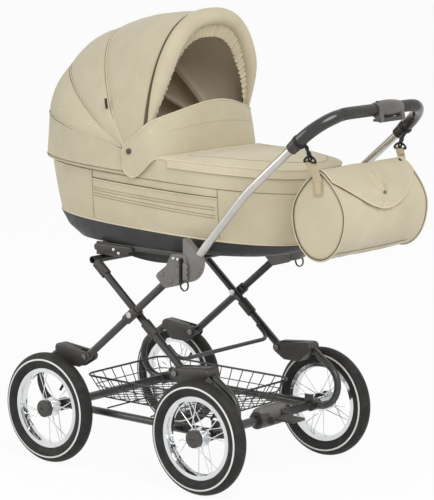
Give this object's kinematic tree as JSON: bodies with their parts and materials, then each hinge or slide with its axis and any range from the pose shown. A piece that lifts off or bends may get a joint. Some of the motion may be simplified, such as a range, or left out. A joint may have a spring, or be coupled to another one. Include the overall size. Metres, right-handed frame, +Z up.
{
  "type": "bassinet pram",
  "caption": "Bassinet pram with a folding fabric hood on a folding crossed-leg chassis, spring arms, spoked wheels, wire basket, adjustable handle and hanging bag.",
  "frame": {"origin": "on the floor at the centre of the four wheels", "axes": "+X towards the handle, -X the way it rolls, +Y to its right side, +Z up"},
  "size_m": [1.1022, 0.5876, 1.2244],
  "materials": {
    "tyre": "matte rubber",
    "chrome": "polished",
    "cap_plastic": "satin",
    "black_frame": "satin",
    "bright_metal": "brushed",
    "handle_metal": "satin",
    "dark_plastic": "matte",
    "grey_plastic": "matte",
    "grip": "grained",
    "cream_fabric": "woven",
    "strap_fabric": "woven",
    "basket_wire": "satin"
  },
  "bodies": {
    "rear_frame": {"rear_axle": "black_frame", "rear_spring_arms": "black_frame", "rear_spring_housings": "dark_plastic", "rail_sleeves": "black_frame", "rear_foot_bolts": "bright_metal", "brake_housing": "dark_plastic"},
    "brake_pedal": {"brake_pedal": "dark_plastic"},
    "rear_legs": {"rear_legs": "black_frame", "leg_sleeves": "dark_plastic", "support_tube": "black_frame", "cross_brace": "black_frame", "crossing_bolts": "bright_metal"},
    "front_legs": {"front_legs": "black_frame", "handle_brackets": "grey_plastic", "front_pivot_bolts": "bright_metal"},
    "front_frame": {"front_axle": "black_frame", "front_spring_arms": "black_frame", "front_spring_housings": "dark_plastic", "lower_rails": "black_frame", "basket": "basket_wire"},
    "carrier": {"cot_carrier": "grey_plastic"},
    "handle": {"handle_knuckles": "grey_plastic", "handle_tube": "handle_metal", "handle_grips": "grip", "handle_control": "dark_plastic"},
    "release_lever": {"release_lever": "dark_plastic"},
    "lock_bars": {"lock_bars": "dark_plastic"},
    "bag": {"bag_body": "cream_fabric", "bag_straps": "strap_fabric"},
    "bag_lid": {"bag_lid": "cream_fabric"},
    "bassinet": {"tray": "grey_plastic", "rocker_base": "grey_plastic", "body_shell": "cream_fabric", "mattress": "cream_fabric", "apron": "cream_fabric", "wind_flap": "cream_fabric", "hood_base": "cream_fabric", "hood_hinges": "dark_plastic"},
    "hood_back": {"hood_rib_back": "bright_metal", "hood_panel_back": "cream_fabric"},
    "hood_middle": {"hood_rib_middle": "bright_metal", "hood_panel_middle": "cream_fabric"},
    "hood_front": {"hood_bow": "cream_fabric", "hood_panel_front": "cream_fabric"},
    "wheel_front_left": {"tyre_front_left": "tyre", "rim_front_left": "chrome", "hub_front_left": "chrome", "hub_cap_front_left": "cap_plastic"},
    "wheel_front_right": {"tyre_front_right": "tyre", "rim_front_right": "chrome", "hub_front_right": "chrome", "hub_cap_front_right": "cap_plastic"},
    "wheel_rear_left": {"tyre_rear_left": "tyre", "rim_rear_left": "chrome", "hub_rear_left": "chrome", "hub_cap_rear_left": "cap_plastic"},
    "wheel_rear_right": {"tyre_rear_right": "tyre", "rim_rear_right": "chrome", "hub_rear_right": "chrome", "hub_cap_rear_right": "cap_plastic"}
  },
  "joints": [
    {"name": "fold", "type": "hinge", "parent": "rear_frame", "child": "rear_legs", "pos_m": [0.1588, 0, 0.298], "axis": [0, -1, 0], "range_deg": [0, 27]},
    {"name": "leg_crossing", "type": "hinge", "parent": "rear_legs", "child": "front_legs", "pos_m": [0, 0, 0.43078], "axis": [0, 1, 0], "range_deg": [0, 54]},
    {"name": "front_frame_level", "type": "hinge", "parent": "front_legs", "child": "front_frame", "pos_m": [-0.1588, 0, 0.298], "axis": [0, -1, 0], "range_deg": [0, 27]},
    {"name": "carrier_level", "type": "hinge", "parent": "front_legs", "child": "carrier", "pos_m": [0.15509, 0, 0.59324], "axis": [0, -1, 0], "range_deg": [0, 27]},
    {"name": "bassinet_lift", "type": "slide", "parent": "carrier", "child": "bassinet", "axis": [0, 0, 1], "range_m": [0, 0.35]},
    {"name": "handle_angle", "type": "hinge", "parent": "front_legs", "child": "handle", "pos_m": [0.18409, 0, 0.59424], "axis": [0, 1, 0], "range_deg": [0, 25]},
    {"name": "lock_pull", "type": "slide", "parent": "front_legs", "child": "lock_bars", "axis": [0, 0, -1], "range_m": [0, 0.008], "stiffness_N_per_m": 600, "springref_m": -0.004},
    {"name": "release_squeeze", "type": "hinge", "parent": "handle", "child": "release_lever", "pos_m": [0.64147, 0.03, 0.96707], "axis": [0, 1, 0], "range_deg": [0, 8], "stiffness_Nm_per_rad": 0.6, "springref_deg": -8.59},
    {"name": "bag_swing", "type": "hinge", "parent": "handle", "child": "bag", "pos_m": [0.5476, 0, 0.92556], "axis": [0, 1, 0], "range_deg": [-15, 0]},
    {"name": "bag_lid_open", "type": "hinge", "parent": "bag", "child": "bag_lid", "pos_m": [0.52188, 0, 0.80943], "axis": [0, -1, 0], "range_deg": [0, 75]},
    {"name": "brake_press", "type": "hinge", "parent": "rear_frame", "child": "brake_pedal", "pos_m": [0.297, 0.028, 0.15], "axis": [0, 1, 0], "range_deg": [0, 20]},
    {"name": "hood_back_fold", "type": "hinge", "parent": "bassinet", "child": "hood_back", "pos_m": [-0.035, 0, 0.86003], "axis": [0, -1, 0], "range_deg": [0, 12.7], "deforming": ["hood_panel_back"]},
    {"name": "hood_middle_fold", "type": "hinge", "parent": "hood_back", "child": "hood_middle", "pos_m": [-0.035, 0, 0.86003], "axis": [0, -1, 0], "range_deg": [0, 22], "deforming": ["hood_panel_middle"]},
    {"name": "hood_fold", "type": "hinge", "parent": "hood_middle", "child": "hood_front", "pos_m": [-0.035, 0, 0.86003], "axis": [0, -1, 0], "range_deg": [0, 45], "deforming": ["hood_panel_front"]},
    {"name": "wheel_front_left", "type": "hinge", "parent": "front_frame", "child": "wheel_front_left", "pos_m": [-0.263, -0.266, 0.15], "axis": [0, 1, 0], "continuous": true},
    {"name": "wheel_front_right", "type": "hinge", "parent": "front_frame", "child": "wheel_front_right", "pos_m": [-0.263, 0.266, 0.15], "axis": [0, 1, 0], "continuous": true},
    {"name": "wheel_rear_left", "type": "hinge", "parent": "rear_frame", "child": "wheel_rear_left", "pos_m": [0.263, -0.266, 0.15], "axis": [0, 1, 0], "continuous": true},
    {"name": "wheel_rear_right", "type": "hinge", "parent": "rear_frame", "child": "wheel_rear_right", "pos_m": [0.263, 0.266, 0.15], "axis": [0, 1, 0], "continuous": true}
  ],
  "couplings": [
    {"joint": "leg_crossing", "follows": "fold", "ratio": 2},
    {"joint": "front_frame_level", "follows": "fold", "ratio": 1},
    {"joint": "carrier_level", "follows": "fold", "ratio": 1},
    {"joint": "hood_middle_fold", "follows": "hood_fold", "ratio": 0.4867},
    {"joint": "hood_back_fold", "follows": "hood_fold", "ratio": 0.28}
  ]
}
